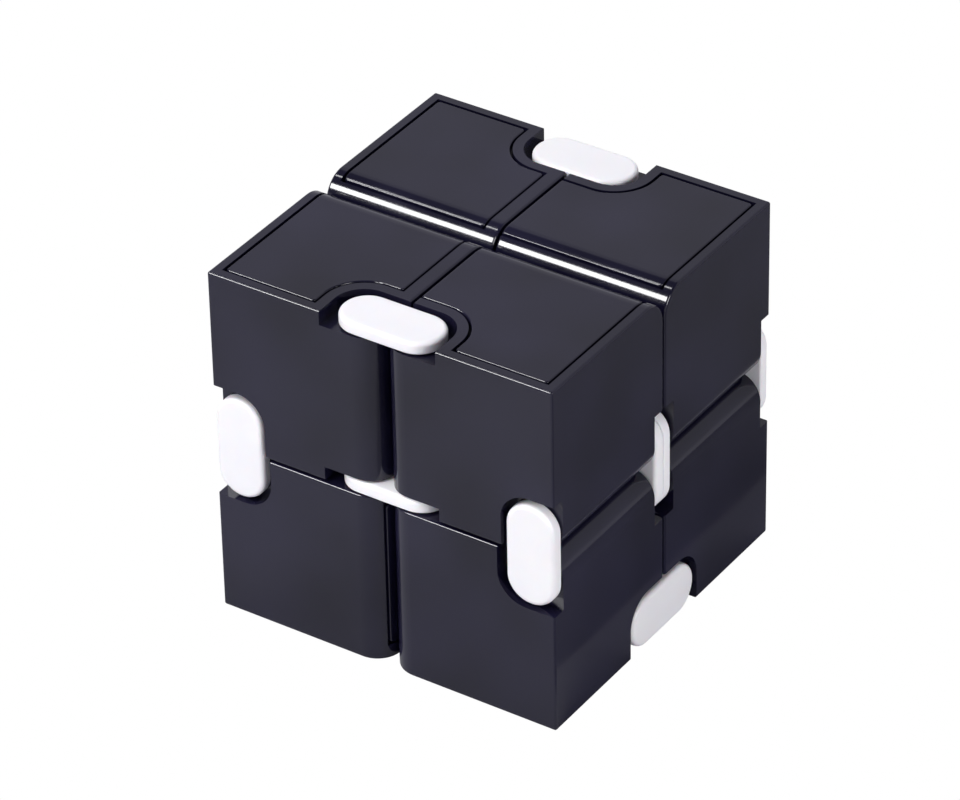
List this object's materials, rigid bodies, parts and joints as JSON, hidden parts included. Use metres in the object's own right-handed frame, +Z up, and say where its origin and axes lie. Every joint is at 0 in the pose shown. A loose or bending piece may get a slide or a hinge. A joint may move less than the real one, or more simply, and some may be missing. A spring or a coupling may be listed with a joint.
{
  "type": "fidget cube",
  "caption": "Desk toy: a cube of hollow blocks joined in an endless ring by twin-pin hinges with pale link plates, so that it folds open and closes again.",
  "frame": {"origin": "centre of the closed cube's bottom face", "axes": "+Z up, -Y the front, X along the pins of the two bottom hinges"},
  "size_m": [0.04, 0.04, 0.04],
  "materials": {
    "black_plastic": "glossy moulded black plastic with a faint blue cast",
    "white_plastic": "satin to glossy moulded white plastic",
    "pin_steel": "bright drawn steel pin"
  },
  "bodies": {
    "rear_half": {"top_rear_left_shell": "black_plastic", "top_rear_left_cover": "black_plastic", "top_rear_right_shell": "black_plastic", "top_rear_right_cover": "black_plastic", "bottom_rear_left_shell": "black_plastic", "bottom_rear_left_cover": "black_plastic", "bottom_rear_right_shell": "black_plastic", "bottom_rear_right_cover": "black_plastic", "top_rear_hinge_outer_plate": "white_plastic", "top_rear_hinge_inner_plate": "white_plastic", "top_rear_hinge_left_pin": "pin_steel", "top_rear_hinge_right_pin": "pin_steel", "rear_left_hinge_outer_plate": "white_plastic", "rear_left_hinge_inner_plate": "white_plastic", "rear_left_hinge_lower_pin": "pin_steel", "rear_left_hinge_upper_pin": "pin_steel", "rear_right_hinge_outer_plate": "white_plastic", "rear_right_hinge_inner_plate": "white_plastic", "rear_right_hinge_lower_pin": "pin_steel", "rear_right_hinge_upper_pin": "pin_steel"},
    "front_half": {"top_front_left_shell": "black_plastic", "top_front_left_cover": "black_plastic", "top_front_right_shell": "black_plastic", "top_front_right_cover": "black_plastic", "bottom_front_left_shell": "black_plastic", "bottom_front_left_cover": "black_plastic", "bottom_front_right_shell": "black_plastic", "bottom_front_right_cover": "black_plastic", "top_front_hinge_outer_plate": "white_plastic", "top_front_hinge_inner_plate": "white_plastic", "top_front_hinge_left_pin": "pin_steel", "top_front_hinge_right_pin": "pin_steel", "front_left_hinge_outer_plate": "white_plastic", "front_left_hinge_inner_plate": "white_plastic", "front_left_hinge_lower_pin": "pin_steel", "front_left_hinge_upper_pin": "pin_steel", "front_right_hinge_outer_plate": "white_plastic", "front_right_hinge_inner_plate": "white_plastic", "front_right_hinge_lower_pin": "pin_steel", "front_right_hinge_upper_pin": "pin_steel"},
    "fold_link_right": {"bottom_right_hinge_outer_plate": "white_plastic", "bottom_right_hinge_inner_plate": "white_plastic", "bottom_right_hinge_front_pin": "pin_steel", "bottom_right_hinge_rear_pin": "pin_steel"},
    "fold_link_left": {"bottom_left_hinge_outer_plate": "white_plastic", "bottom_left_hinge_inner_plate": "white_plastic", "bottom_left_hinge_front_pin": "pin_steel", "bottom_left_hinge_rear_pin": "pin_steel"}
  },
  "joints": [
    {"name": "rear_pivot", "type": "hinge", "parent": "rear_half", "child": "fold_link_right", "pos_m": [0.01008, 0.003, 0.00285], "axis": [1, 0, 0], "range_deg": [0, 90]},
    {"name": "front_pivot", "type": "hinge", "parent": "fold_link_right", "child": "front_half", "pos_m": [0.01008, -0.003, 0.00285], "axis": [1, 0, 0], "range_deg": [0, 90]},
    {"name": "left_rear_pivot", "type": "hinge", "parent": "rear_half", "child": "fold_link_left", "pos_m": [-0.01008, 0.003, 0.00285], "axis": [1, 0, 0], "range_deg": [0, 90]}
  ],
  "couplings": [
    {"joint": "left_rear_pivot", "follows": "rear_pivot", "ratio": 1}
  ]
}
